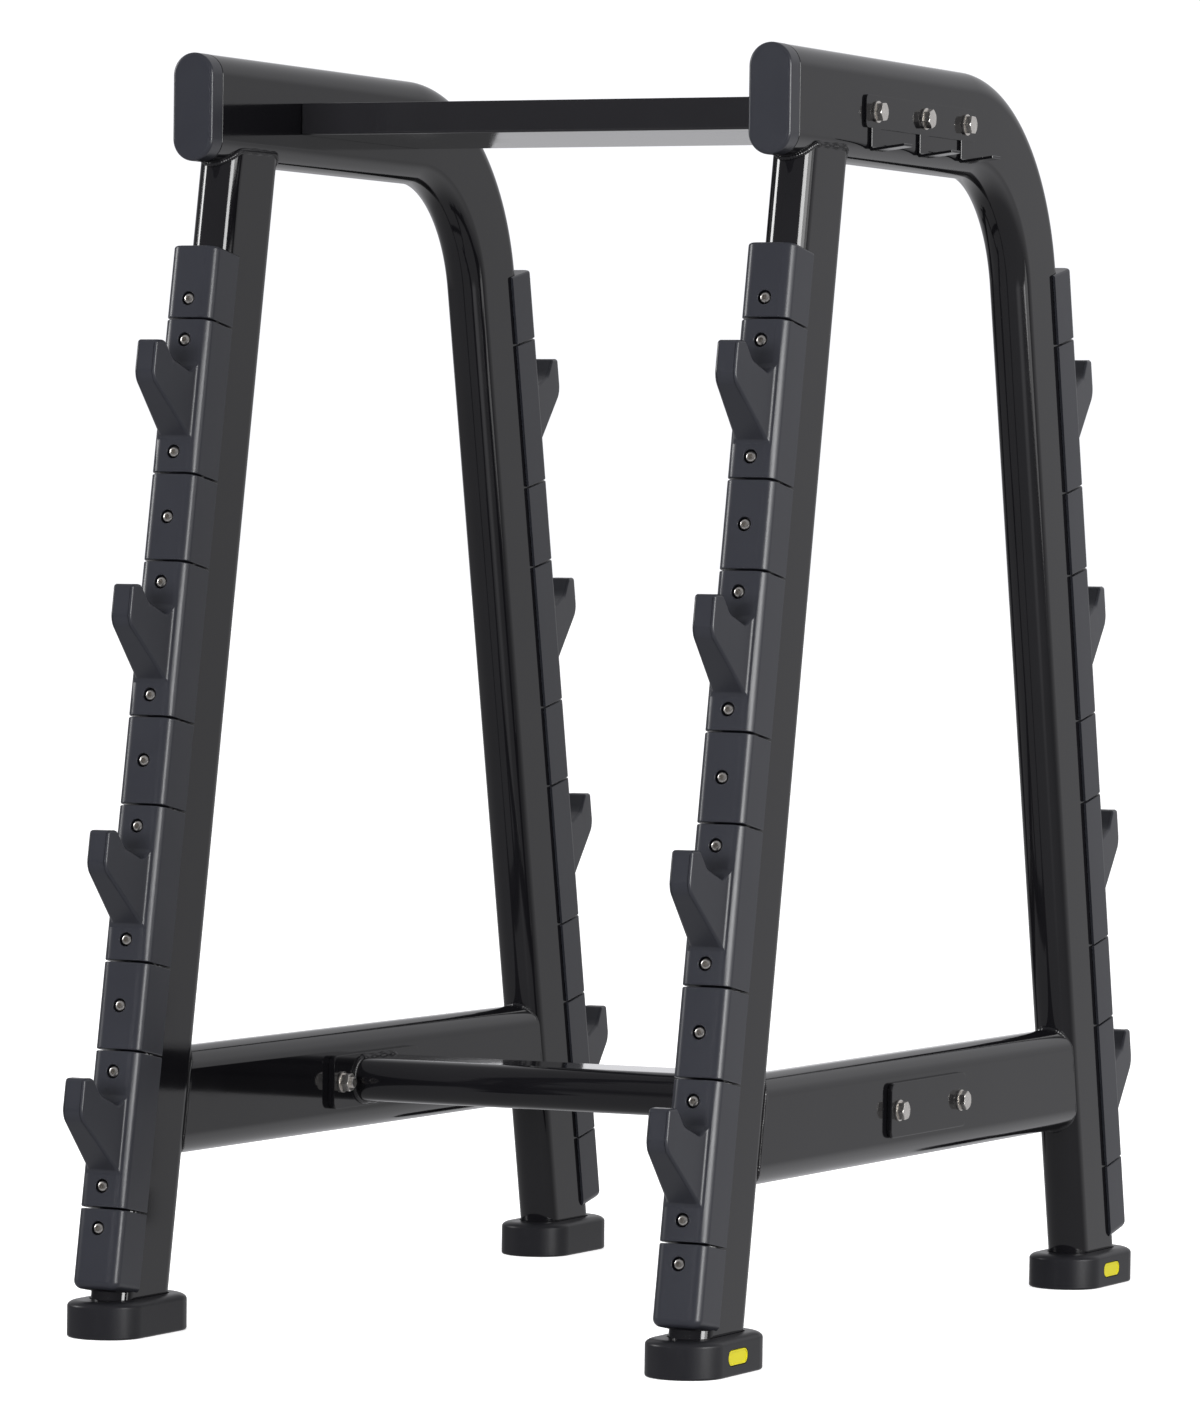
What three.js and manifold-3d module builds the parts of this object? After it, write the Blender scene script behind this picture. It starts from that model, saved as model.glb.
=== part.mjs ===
// Barbell storage rack: two welded side frames of flat-oval tube, joined by a tray at the top
// and by a crossmember at the bottom, with four plastic bar hooks up each of the four legs.
// Millimetres, +Z up, the front faces -Y, the floor is at zero.
import * as THREE from "three";
import { mergeVertices } from "three/addons/utils/BufferGeometryUtils.js";
import Module from "manifold-3d";

const wasm = await Module();
wasm.setup();

// Frame tube, a flat oval
const tubeDepth = 120;
const tubeWidth = 50;
const tubeWall = 3;

// Side frames, measured on the tube axes
const frameSpacing = 701.4;
const legSpan = 1086.4;
const barHeight = 1354.2;
const railHeight = 251;
const bendRadius = 208.5;
const barOverhang = 23;
const frontLean = THREE.MathUtils.degToRad(10.17);
const rearLean = THREE.MathUtils.degToRad(11.53);

// Clearances
const weldGap = 0.3;
const coverGap = 0.4;
const footGap = 0.5;
const capGap = 0.3;
const boltGap = 0.5;
const cutOverrun = 4;

// Covers and hook blocks on the outer nose of each leg
const coverWidth = 57;
const coverStandoff = 25.6;
const coverCorner = 13;
const coverWrap = 6;
const coverSeam = 2;
const stackFoot = 41;
const stackTopGap = 109.26;
const rearStackRaise = 7;
const bottomCoverLength = 88.4;
const topCoverLength = 81.8;
const hookBlockLength = 172.3;
const hooksPerLeg = 4;
const endScrewInset = 21.5;
const hookScrewOffset = 63.2;
const screwRecess = 15;
const screwRecessRadius = 7.8;

// Hook arm, its heights measured from the middle of its block
const armBaseWidth = 39;
const armTipWidth = 24.8;
const armReach = 82;
const armTipThickness = 17;
const armTipHeight = 49;
const armTipDrop = 3;
const armFaceFoot = 4;
const armRootFoot = 47;
const saddleLow = 25.3;
const saddleLowReach = 10;
const saddleEnd = 32;
const saddleEndReach = 47;
const saddleRise = 35;
const armCorner = 6;
const armEdge = 3;

// Feet
const footWidth = 87.6;
const footLength = 178.4;
const footHeight = 41;
const footCrown = 5;
const footCrownInset = 10;
const footPad = 8;
const frontFootShift = 3;
const rearFootShift = 9;
const insertLength = 50;
const insertHeight = 18;
const insertDepth = 1.5;
const insertCentre = 20;
const insertShift = 8;

// End caps on the top bars
const capDepth = 25;
const capEdge = 3;
const capPlugLength = 30;

// Tray between the top bars, and its bolts
const traySheet = 3;
const trayHeight = 35.6;
const trayFrontMargin = 14;
const trayRearMargin = 35.4;
const firstBoltFromBarEnd = 199.5;
const trayBoltGaps = [134, 118];
const traySink = 2.2;

// Plates with hanging fingers on the outside of the top bars
const hangerSheet = 3;
const hangerHeight = 36;
const hangerMargin = 28;
const hangerCorner = 6;
const tabWidth = 24;
const tabDrop = 25;
const fingerReach = 38;
const fingerRise = 5;

// Crossmember, its end plates and the outer plates that clamp the rails
const crossmemberFromFrontFoot = 533.6;
const endPlateThickness = 8;
const outerPlateThickness = 6;
const jointPlateLength = 215;
const jointPlateHeight = 62;
const jointPlateCorner = 10;
const jointBoltSpacing = 176.3;
const drainRadius = 12;

// Bolts
const boltRadius = 6;
const headAcross = 19;
const headThickness = 7.5;
const nutThickness = 10;
const washerRadius = 12;
const washerThickness = 2.5;
const boltTail = 4;

// Facets of the round stretches
const noseSteps = 6;
const bendSteps = 12;
const cornerSteps = 3;
const crownSteps = 2;
const armSteps = 2;
const holeSteps = 10;
const hexSides = 6;

// Coatings and mouldings
const coating = new THREE.MeshStandardMaterial({ color: 0x17181b, roughness: 0.22, metalness: 0.1 });
const plastic = new THREE.MeshStandardMaterial({ color: 0x303238, roughness: 0.5, metalness: 0 });
const rubber = new THREE.MeshStandardMaterial({ color: 0x1d1d20, roughness: 0.6, metalness: 0 });
const steel = new THREE.MeshStandardMaterial({ color: 0xc8c6c0, roughness: 0.28, metalness: 1 });

// Places that several pieces share, in the middle plane of a side frame
const noseOffset = tubeDepth / 2 - tubeWidth / 2;
const coverFront = tubeDepth / 2 + coverStandoff;
const frontFootY = -legSpan / 2;
const rearFootY = legSpan / 2;
const barUnderside = barHeight - tubeDepth / 2;
const barFront =
  frontFootY + barUnderside * Math.tan(frontLean) - tubeDepth / 2 / Math.cos(frontLean) - barOverhang;
const trayBoltYs = [0, 1, 2].map(
  (i) => barFront + firstBoltFromBarEnd + trayBoltGaps.slice(0, i).reduce((sum, gap) => sum + gap, 0),
);
const trayBoltZ = barHeight - traySink;
const crossmemberY = frontFootY + crossmemberFromFrontFoot;
const jointBoltYs = [-1, 1].map((end) => crossmemberY + (end * jointBoltSpacing) / 2);
const innerFaceSpan = frameSpacing - tubeWidth;

// The covers between the hook blocks take up what is left of the front leg below the top bar
const spacersPerLeg = hooksPerLeg - 1;
const stackLength = barUnderside / Math.cos(frontLean) - stackTopGap - stackFoot;
const endCoversLength = bottomCoverLength + coverSeam + topCoverLength;
const hookBlocksLength = hooksPerLeg * (hookBlockLength + coverSeam);
const spacerLength = (stackLength - endCoversLength - hookBlocksLength) / spacersPerLeg - coverSeam;

// A closed three.js geometry as a solid for cutting and joining
function solid(geometry) {
  const bare = geometry.clone();
  bare.deleteAttribute("normal");
  bare.deleteAttribute("uv");
  const merged = mergeVertices(bare);
  return new wasm.Manifold(
    new wasm.Mesh({
      numProp: 3,
      vertProperties: merged.attributes.position.array,
      triVerts: Uint32Array.from(merged.index.array),
    }),
  );
}

// A solid as a three.js geometry
function surface(body) {
  const mesh = body.getMesh();
  const geometry = new THREE.BufferGeometry();
  geometry.setAttribute("position", new THREE.BufferAttribute(mesh.vertProperties, 3));
  geometry.setIndex(new THREE.BufferAttribute(mesh.triVerts, 1));
  geometry.computeVertexNormals();
  return geometry;
}

// Turns a geometry drawn in X and Y and raised along Z so that it is drawn in Y and Z, raised along X
function acrossX(geometry) {
  const turn = new THREE.Matrix4().makeBasis(
    new THREE.Vector3(0, 1, 0),
    new THREE.Vector3(0, 0, 1),
    new THREE.Vector3(1, 0, 0),
  );
  return geometry.applyMatrix4(turn);
}

function box(sizeX, sizeY, sizeZ, x, y, z) {
  return solid(new THREE.BoxGeometry(sizeX, sizeY, sizeZ).translate(x, y, z));
}

// Everything below a height, wide enough for one side frame
function below(height) {
  return box(frameSpacing, 2 * legSpan, barHeight, 0, 0, height - barHeight / 2);
}

function above(height) {
  return box(frameSpacing, 2 * legSpan, barHeight, 0, 0, height + barHeight / 2);
}

// A flat oval with its long axis along Y, grown or shrunk all round
function oval(width, depth, grow) {
  const radius = width / 2 + grow;
  const reach = (depth - width) / 2;
  const shape = new THREE.Shape();
  shape.absarc(0, reach, radius, 0, Math.PI);
  shape.absarc(0, -reach, radius, Math.PI, 2 * Math.PI);
  shape.closePath();
  return shape;
}

function tubeSection() {
  const section = oval(tubeWidth, tubeDepth, 0);
  section.holes.push(oval(tubeWidth, tubeDepth, -tubeWall));
  return section;
}

// An outline through corners [x, y, radius], each corner rounded by its radius
function rounded(corners) {
  const shape = new THREE.Shape();
  corners.forEach(([x, y, radius], i) => {
    const corner = new THREE.Vector2(x, y);
    const before = new THREE.Vector2(...corners.at(i - 1));
    const after = new THREE.Vector2(...corners[(i + 1) % corners.length]);
    const start = before.sub(corner).setLength(radius).add(corner);
    const end = after.sub(corner).setLength(radius).add(corner);
    if (i === 0) shape.moveTo(start.x, start.y);
    else shape.lineTo(start.x, start.y);
    if (radius > 0) shape.quadraticCurveTo(x, y, end.x, end.y);
  });
  shape.closePath();
  return shape;
}

// Adds a quarter turn about a centre to an outline, from a starting angle on
function roundTo(shape, centreX, centreY, radius, start) {
  for (let i = 0; i <= cornerSteps; i += 1) {
    const angle = start + (i / cornerSteps) * (Math.PI / 2);
    shape.lineTo(centreX + radius * Math.cos(angle), centreY + radius * Math.sin(angle));
  }
}

function prism(shape, height, curveSegments) {
  return new THREE.ExtrudeGeometry(shape, { depth: height, bevelEnabled: false, curveSegments });
}

// A prism that stands on zero, with only its upper edge rounded
function crownedPrism(shape, height, crown, inset) {
  const geometry = new THREE.ExtrudeGeometry(shape, {
    depth: height - crown,
    curveSegments: noseSteps,
    bevelThickness: crown,
    bevelSize: inset,
    bevelOffset: -inset,
    bevelSegments: crownSteps,
  });
  return solid(geometry).subtract(below(0));
}

function rodAlongX(radius, start, end, y, z, steps) {
  const rod = new THREE.CylinderGeometry(radius, radius, end - start, steps);
  return solid(rod.rotateZ(Math.PI / 2).translate((start + end) / 2, y, z));
}

// The axis of a tube as hand-set stations, each with its point and its direction
class StationCurve extends THREE.Curve {
  constructor(stations) {
    super();
    this.stations = stations;
  }
  station(t) {
    return this.stations[Math.round(t * (this.stations.length - 1))];
  }
  getPointAt(t) {
    return this.station(t).point;
  }
  getTangentAt(t) {
    return this.station(t).direction;
  }
  computeFrenetFrames() {
    const tangents = this.stations.map((station) => station.direction);
    const normals = tangents.map(() => new THREE.Vector3(-1, 0, 0));
    const binormals = tangents.map((tangent, i) => tangent.clone().cross(normals[i]));
    return { tangents, normals, binormals };
  }
}

// Top bar, bend and rear leg as one axis: straight back, round the bend, straight down to the floor
function bentAxis() {
  const centreZ = barHeight - bendRadius;
  const centreY = rearFootY - (bendRadius + centreZ * Math.sin(rearLean)) / Math.cos(rearLean);
  const sweep = Math.PI / 2 - rearLean;
  const back = new THREE.Vector3(0, 1, 0);
  const down = new THREE.Vector3(0, Math.sin(rearLean), -Math.cos(rearLean));
  const stations = [{ point: new THREE.Vector3(0, barFront, barHeight), direction: back }];
  for (let i = 0; i <= bendSteps; i += 1) {
    const angle = (sweep * i) / bendSteps;
    const point = new THREE.Vector3(
      0,
      centreY + bendRadius * Math.sin(angle),
      centreZ + bendRadius * Math.cos(angle),
    );
    stations.push({ point, direction: new THREE.Vector3(0, Math.cos(angle), -Math.sin(angle)) });
  }
  stations.push({ point: new THREE.Vector3(0, rearFootY, 0), direction: down });
  return new StationCurve(stations);
}

function bentTube(section) {
  const extrudePath = bentAxis();
  const steps = extrudePath.stations.length - 1;
  return solid(
    new THREE.ExtrudeGeometry(section, { extrudePath, steps, curveSegments: noseSteps }),
  );
}

function frontLegPrism(section) {
  const length = barHeight / Math.cos(frontLean);
  return solid(prism(section, length, noseSteps).rotateX(-frontLean).translate(0, frontFootY, 0));
}

// What a neighbour of the tubes is cut back by
const bentCutter = bentTube(oval(tubeWidth, tubeDepth, weldGap));
const frontLegCutter = frontLegPrism(oval(tubeWidth, tubeDepth, weldGap));
const legFoot = footPad + weldGap;

function boltHoles(ys, z) {
  const radius = boltRadius + boltGap;
  const reach = tubeWidth / 2 + cutOverrun;
  return ys.map((y) => rodAlongX(radius, -reach, reach, y, z, holeSteps));
}

function cutBy(body, cutters) {
  return cutters.reduce((rest, cutter) => rest.subtract(cutter), body);
}

function frameTube() {
  return surface(cutBy(bentTube(tubeSection()), [below(legFoot), ...boltHoles(trayBoltYs, trayBoltZ)]));
}

function frontLeg() {
  return surface(cutBy(frontLegPrism(tubeSection()), [below(legFoot), bentCutter, above(barHeight)]));
}

function lowerRail() {
  const start = frontFootY + railHeight * Math.tan(frontLean);
  const end = rearFootY - railHeight * Math.tan(rearLean);
  const rail = prism(tubeSection(), end - start, noseSteps).rotateX(-Math.PI / 2);
  const body = solid(rail.translate(0, start, railHeight));
  return surface(cutBy(body, [frontLegCutter, bentCutter, ...boltHoles(jointBoltYs, railHeight)]));
}

// Covers are drawn on an upright leg axis: -Y is outward, Z runs up the leg from the cover's foot
function coverShell(length) {
  const half = coverWidth / 2;
  const channel = tubeWidth / 2 + coverGap;
  const back = noseOffset - coverWrap;
  const corner = coverFront - coverCorner;
  const shape = new THREE.Shape();
  shape.moveTo(half, -back);
  shape.lineTo(channel, -back);
  shape.absarc(0, -noseOffset, channel, 0, -Math.PI, true);
  shape.lineTo(-channel, -back);
  shape.lineTo(-half, -back);
  roundTo(shape, coverCorner - half, -corner, coverCorner, Math.PI);
  roundTo(shape, half - coverCorner, -corner, coverCorner, 1.5 * Math.PI);
  shape.closePath();
  return solid(prism(shape, length, noseSteps));
}

// The recess that a screw head sits in, cut square into the cover's face
function screwHole(height) {
  const depth = screwRecess + cutOverrun;
  const recess = new THREE.CylinderGeometry(screwRecessRadius, screwRecessRadius, depth, holeSteps);
  return solid(recess.translate(0, depth / 2 - cutOverrun - coverFront, height));
}

function cover(length, screwHeight) {
  return surface(coverShell(length).subtract(screwHole(screwHeight)));
}

// The arm's side outline, with reach outward along -X and height along Y, from the block's middle
function armOutline() {
  const face = -coverFront;
  const root = face + coverCorner;
  const tip = face - armReach;
  const tipTop = armTipHeight - armTipDrop;
  return rounded([
    [root, -armRootFoot, 0],
    [face, -armRootFoot, 0],
    [tip, armFaceFoot, armCorner],
    [tip, tipTop, armCorner],
    [tip + armTipThickness, armTipHeight, 0],
    [face - saddleEndReach, saddleEnd, armCorner],
    [face - saddleLowReach, saddleLow, armCorner],
    [face, saddleRise, 0],
    [root, saddleRise, 0],
  ]);
}

// The arm has chamfered edges and narrows from its root to its tip
function hookArm() {
  const bar = new THREE.ExtrudeGeometry(armOutline(), {
    depth: armBaseWidth - 2 * armEdge,
    curveSegments: armSteps,
    bevelThickness: armEdge,
    bevelSize: armEdge,
    bevelOffset: -armEdge,
    bevelSegments: 1,
  });
  const arm = acrossX(bar.translate(0, 0, armEdge - armBaseWidth / 2));
  const places = arm.attributes.position;
  for (let i = 0; i < places.count; i += 1) {
    const reachShare = Math.max(0, -coverFront - places.getY(i)) / armReach;
    places.setX(i, places.getX(i) * THREE.MathUtils.lerp(1, armTipWidth / armBaseWidth, reachShare));
  }
  return solid(arm);
}

function hookBlock() {
  const middle = hookBlockLength / 2;
  const body = coverShell(hookBlockLength).add(hookArm().translate(0, 0, middle));
  const screws = [-1, 1].map((end) => screwHole(middle + end * hookScrewOffset));
  return surface(cutBy(body, screws));
}

// One foot, with a pocket for the leg and a shallow oval seat for the insert on its outer face
function foot(legBody, centreY, insertY) {
  const body = crownedPrism(oval(footWidth, footLength, 0), footHeight, footCrown, footCrownInset);
  const pocket = legBody.subtract(below(footPad));
  const lozenge = prism(oval(insertHeight, insertLength, 0), 2 * insertDepth, cornerSteps);
  const seat = acrossX(lozenge.rotateZ(Math.PI / 2)).translate(
    footWidth / 2 - insertDepth,
    insertY,
    insertCentre,
  );
  return surface(cutBy(body.translate(0, centreY, 0), [pocket, solid(seat)]));
}

function frontFoot() {
  const centreY = frontFootY + frontFootShift;
  return foot(frontLegPrism(oval(tubeWidth, tubeDepth, footGap)), centreY, centreY - insertShift);
}

function rearFoot() {
  const centreY = rearFootY - rearFootShift;
  return foot(bentTube(oval(tubeWidth, tubeDepth, footGap)), centreY, centreY - insertShift);
}

function endCap() {
  const cap = crownedPrism(oval(tubeWidth, tubeDepth, 0), capDepth, capEdge, capEdge);
  const plugSection = oval(tubeWidth, tubeDepth, -tubeWall - capGap);
  const plug = prism(plugSection, capPlugLength + capEdge, noseSteps).translate(0, 0, -capPlugLength);
  return surface(cap.add(solid(plug))).rotateX(Math.PI / 2);
}

function plateOutline(front, rear, bottom, top, corner) {
  return [
    [front, bottom, corner],
    [rear, bottom, corner],
    [rear, top, corner],
    [front, top, corner],
  ];
}

// A through bolt along X from a nut face to a head face, with its head, washers and nut
function bolt(nutFace, headFace, y, z, nutWasher) {
  const hexRadius = headAcross / 2 / Math.cos(Math.PI / hexSides);
  const headStart = headFace + washerThickness;
  const nutStart = nutFace - nutWasher;
  const nutEnd = nutStart - nutThickness;
  const shank = rodAlongX(boltRadius, nutEnd - boltTail, headStart + headThickness / 2, y, z, holeSteps);
  const head = rodAlongX(hexRadius, headStart, headStart + headThickness, y, z, hexSides);
  const washer = rodAlongX(washerRadius, headFace, headStart, y, z, holeSteps);
  const nut = rodAlongX(hexRadius, nutEnd, nutStart, y, z, hexSides);
  const body = shank.add(head).add(washer).add(nut);
  if (nutWasher === 0) return body;
  return body.add(rodAlongX(washerRadius, nutStart, nutFace, y, z, holeSteps));
}

function trayBolt(y) {
  const nutFace = -tubeWidth / 2 - traySheet;
  return surface(bolt(nutFace, tubeWidth / 2 + hangerSheet, y, trayBoltZ, 0));
}

// A plate on the outside of the top bar, with a tab under each bolt bent out into a finger
function hangerPlate() {
  const front = trayBoltYs[0] - hangerMargin;
  const rear = trayBoltYs.at(-1) + hangerMargin;
  const bottom = trayBoltZ - hangerHeight / 2;
  const outline = plateOutline(front, rear, bottom, bottom + hangerHeight, hangerCorner);
  const inner = tubeWidth / 2;
  const tabFoot = bottom - tabDrop;
  const strip = new THREE.Shape();
  strip.moveTo(0, tabFoot);
  strip.lineTo(hangerSheet + fingerReach, tabFoot + fingerRise);
  strip.lineTo(hangerSheet + fingerReach, tabFoot + fingerRise + hangerSheet);
  strip.lineTo(hangerSheet, tabFoot + hangerSheet);
  strip.lineTo(hangerSheet, bottom + hangerCorner);
  strip.lineTo(0, bottom + hangerCorner);
  strip.closePath();
  let body = solid(acrossX(prism(rounded(outline), hangerSheet, cornerSteps)).translate(inner, 0, 0));
  for (const y of trayBoltYs) {
    const tab = prism(strip, tabWidth, cornerSteps).rotateX(Math.PI / 2);
    body = body.add(solid(tab.translate(inner, y + tabWidth / 2, 0)));
  }
  return surface(cutBy(body, boltHoles(trayBoltYs, trayBoltZ)));
}

// A rounded plate at the crossmember's joint, its inner face at x
function jointSheet(thickness, x) {
  const front = crossmemberY - jointPlateLength / 2;
  const bottom = railHeight - jointPlateHeight / 2;
  const outline = plateOutline(
    front,
    front + jointPlateLength,
    bottom,
    bottom + jointPlateHeight,
    jointPlateCorner,
  );
  return solid(acrossX(prism(rounded(outline), thickness, cornerSteps)).translate(x, 0, 0));
}

// The outer plate at the crossmember's joint, with the two bolts that it is clamped by
function jointPlate() {
  let body = jointSheet(outerPlateThickness, tubeWidth / 2);
  const nutFace = -tubeWidth / 2 - endPlateThickness;
  const headFace = tubeWidth / 2 + outerPlateThickness;
  for (const y of jointBoltYs) body = body.add(bolt(nutFace, headFace, y, railHeight, washerThickness));
  return surface(body);
}

// A folded sheet tray between the top bars, open upwards
function tray() {
  const front = trayBoltYs[0] - trayFrontMargin;
  const depth = trayBoltYs.at(-1) + trayRearMargin - front;
  const middle = front + depth / 2;
  const outer = box(innerFaceSpan, depth, trayHeight, 0, middle, trayBoltZ);
  const hollow = box(
    innerFaceSpan - 2 * traySheet,
    depth - 2 * traySheet,
    trayHeight,
    0,
    middle,
    trayBoltZ + traySheet,
  );
  const reach = innerFaceSpan / 2 + cutOverrun;
  const radius = boltRadius + boltGap;
  const holes = trayBoltYs.map((y) => rodAlongX(radius, -reach, reach, y, trayBoltZ, holeSteps));
  return surface(cutBy(outer, [hollow, ...holes]));
}

// A flat-oval tube lying flat, welded to an end plate at each side; the plates have a drain hole
function crossmember() {
  const tubeLength = innerFaceSpan - 2 * endPlateThickness;
  const lying = (section, length) =>
    solid(
      acrossX(prism(section, length, noseSteps).rotateZ(Math.PI / 2))
        .translate(-length / 2, crossmemberY, railHeight),
    );
  let body = lying(oval(tubeWidth, tubeDepth, 0), tubeLength + endPlateThickness);
  for (const x of [-innerFaceSpan / 2, tubeLength / 2]) body = body.add(jointSheet(endPlateThickness, x));
  const reach = innerFaceSpan / 2 + cutOverrun;
  const bore = lying(oval(tubeWidth, tubeDepth, -tubeWall), tubeLength);
  const drain = rodAlongX(drainRadius, -reach, reach, crossmemberY, railHeight, holeSteps);
  const radius = boltRadius + boltGap;
  const holes = jointBoltYs.map((y) => rodAlongX(radius, -reach, reach, y, railHeight, holeSteps));
  return surface(cutBy(body, [bore, drain, ...holes]));
}

function add(parent, name, geometry, material) {
  const mesh = new THREE.Mesh(geometry, material);
  mesh.name = name;
  parent.add(mesh);
  return mesh;
}

// The covers of one leg from the floor up, as [name, length, geometry]
const spacer = cover(spacerLength, spacerLength / 2);
const bottomCover = cover(bottomCoverLength, bottomCoverLength - endScrewInset);
const topCover = cover(topCoverLength, endScrewInset);
const hook = hookBlock();

function coverStack() {
  const stack = [["cover_bottom", bottomCoverLength, bottomCover]];
  for (let i = hooksPerLeg; i >= 1; i -= 1) {
    stack.push(["hook_" + i, hookBlockLength, hook]);
    if (i > 1) stack.push(["cover_" + (i - 1), spacerLength, spacer]);
  }
  stack.push(["cover_top", topCoverLength, topCover]);
  return stack;
}

// A leg's covers, on an axis that leans inward from its foot
function dressedLeg(name, footY, lean, turn, raise) {
  const place = new THREE.Group();
  place.position.y = footY;
  place.rotation.z = turn;
  const axis = new THREE.Group();
  axis.rotation.x = -lean;
  place.add(axis);
  let height = stackFoot + raise;
  for (const [piece, length, geometry] of coverStack()) {
    add(axis, name + "_" + piece, geometry, plastic).position.z = height;
    height += length + coverSeam;
  }
  return place;
}

const tubeShape = frameTube();
const legShape = frontLeg();
const railShape = lowerRail();
const capShape = endCap();
const frontFootShape = frontFoot();
const rearFootShape = rearFoot();
const hangerShape = hangerPlate();
const jointShape = jointPlate();
const boltShapes = trayBoltYs.map(trayBolt);

// One side frame, drawn as the right one with its outer face towards +X
function sideFrame(side) {
  const group = new THREE.Group();
  add(group, side + "_bar_and_rear_leg", tubeShape, coating);
  add(group, side + "_front_leg", legShape, coating);
  add(group, side + "_lower_rail", railShape, coating);
  add(group, side + "_end_cap", capShape, plastic).position.set(0, barFront - capGap, barHeight);
  add(group, side + "_front_foot", frontFootShape, rubber);
  add(group, side + "_rear_foot", rearFootShape, rubber);
  add(group, side + "_hanger_plate", hangerShape, coating);
  add(group, side + "_joint_plate", jointShape, coating);
  boltShapes.forEach((shape, i) => add(group, side + "_tray_bolt_" + (i + 1), shape, steel));
  group.add(dressedLeg(side + "_front", frontFootY, frontLean, 0, 0));
  group.add(dressedLeg(side + "_rear", rearFootY, rearLean, Math.PI, rearStackRaise));
  return group;
}

const rack = new THREE.Group();
const body = new THREE.Group();
rack.add(body);
const right = sideFrame("right");
right.position.x = frameSpacing / 2;
const left = sideFrame("left");
left.position.x = -frameSpacing / 2;
left.scale.x = -1;
body.add(right, left);
add(body, "tray", tray(), coating);
add(body, "crossmember", crossmember(), coating);

// The origin is on the floor, in the middle of the rack's footprint
body.updateMatrixWorld(true);
const middle = new THREE.Box3().setFromObject(body, true).getCenter(new THREE.Vector3());
body.position.y = -middle.y;

export default rack;
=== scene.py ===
import math

import bmesh
import bpy
from mathutils import Matrix, Vector


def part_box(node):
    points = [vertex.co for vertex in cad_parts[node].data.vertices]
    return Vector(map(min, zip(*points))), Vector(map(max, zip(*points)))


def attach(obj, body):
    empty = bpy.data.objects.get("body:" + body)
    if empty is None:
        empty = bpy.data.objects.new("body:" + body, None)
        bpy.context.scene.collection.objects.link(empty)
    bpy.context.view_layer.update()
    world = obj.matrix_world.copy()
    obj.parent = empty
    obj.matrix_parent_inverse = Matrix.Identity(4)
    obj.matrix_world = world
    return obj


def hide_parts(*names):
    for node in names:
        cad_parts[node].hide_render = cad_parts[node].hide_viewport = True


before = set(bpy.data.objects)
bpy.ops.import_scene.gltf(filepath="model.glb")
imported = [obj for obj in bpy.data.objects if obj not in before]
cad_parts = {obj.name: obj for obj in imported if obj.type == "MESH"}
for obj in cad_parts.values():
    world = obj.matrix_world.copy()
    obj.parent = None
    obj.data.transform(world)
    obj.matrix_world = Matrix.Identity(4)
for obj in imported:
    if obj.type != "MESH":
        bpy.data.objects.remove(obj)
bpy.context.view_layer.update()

print("frame loaded:", len(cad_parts), "nodes")


def nodeMiddle(node):
    low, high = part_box(node)
    return (low + high) / 2


def nodeSize(node):
    low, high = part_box(node)
    return high - low


# Main sizes of the right side frame; the left one is its mirror image
rack = {
    "tubeDepth": 0.120,
    "bendRadius": 0.2085,
    "legSpan": 1.0864,
    "crossmemberBehindFoot": 0.5336,
    "frontLean": math.radians(10.17),
    "rearLean": math.radians(11.53),
    "bendSteps": 30,
    "noseSteps": 16,
    "mouthEdge": 0.0012,
}
tubeDepth = rack["tubeDepth"]
tubeWidth = nodeSize("right_front_leg").x
noseRadius = tubeWidth / 2
noseOffset = (tubeDepth - tubeWidth) / 2
sideX = nodeMiddle("right_front_leg").x
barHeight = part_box("right_bar_and_rear_leg")[1].z - tubeDepth / 2
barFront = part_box("right_bar_and_rear_leg")[0].y
railHeight = nodeMiddle("right_lower_rail").z
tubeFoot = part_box("right_front_leg")[0].z
crossmemberY = nodeMiddle("crossmember").y
frontFootY = crossmemberY - rack["crossmemberBehindFoot"]
rearFootY = frontFootY + rack["legSpan"]
upFront = Vector((0, math.sin(rack["frontLean"]), math.cos(rack["frontLean"])))
upRear = Vector((0, -math.sin(rack["rearLean"]), math.cos(rack["rearLean"])))


# Modelling by hand: small steps that every piece uses
tolerance = 1e-5  # a corner this near to a plane lies in it
mergeDistance = 1e-6
facing = 0.95  # a face this square to an axis looks along it
sharpAngle = 60  # degrees: edges that turn more get their bevel
smoothAngle = 32  # degrees: edges that turn less are shaded smooth
hexSides = 6


def makeActive(piece):
    if bpy.context.mode != "OBJECT":
        bpy.ops.object.mode_set(mode="OBJECT")
    bpy.ops.object.select_all(action="DESELECT")
    piece.select_set(True)
    bpy.context.view_layer.objects.active = piece


def startEdit(piece):
    makeActive(piece)
    bpy.ops.object.mode_set(mode="EDIT")
    bpy.ops.mesh.select_all(action="DESELECT")


def endEdit():
    bpy.ops.object.mode_set(mode="OBJECT")


def pick(piece, kind, test):
    # selects the corners, edges or faces of a piece in edit mode that pass a test
    bpy.ops.mesh.select_mode(type=kind)
    bpy.ops.mesh.select_all(action="DESELECT")
    mesh = bmesh.from_edit_mesh(piece.data)
    for item in {"VERT": mesh.verts, "EDGE": mesh.edges, "FACE": mesh.faces}[kind]:
        if test(item):
            item.select_set(True)
    bmesh.update_edit_mesh(piece.data)


def bothEnds(edge, test):
    return all(test(vert.co) for vert in edge.verts)


def inPlane(axis, value):
    # a test for edges that lie in a plane square to an axis
    index = "xyz".index(axis)
    return lambda edge: bothEnds(edge, lambda co: abs(co[index] - value) < tolerance)


def faceAngle(edge):
    return math.degrees(abs(edge.calc_face_angle_signed(0)))


def extrude(x, y, z):
    bpy.ops.mesh.extrude_region_move(TRANSFORM_OT_translate={"value": (x, y, z)})


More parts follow.
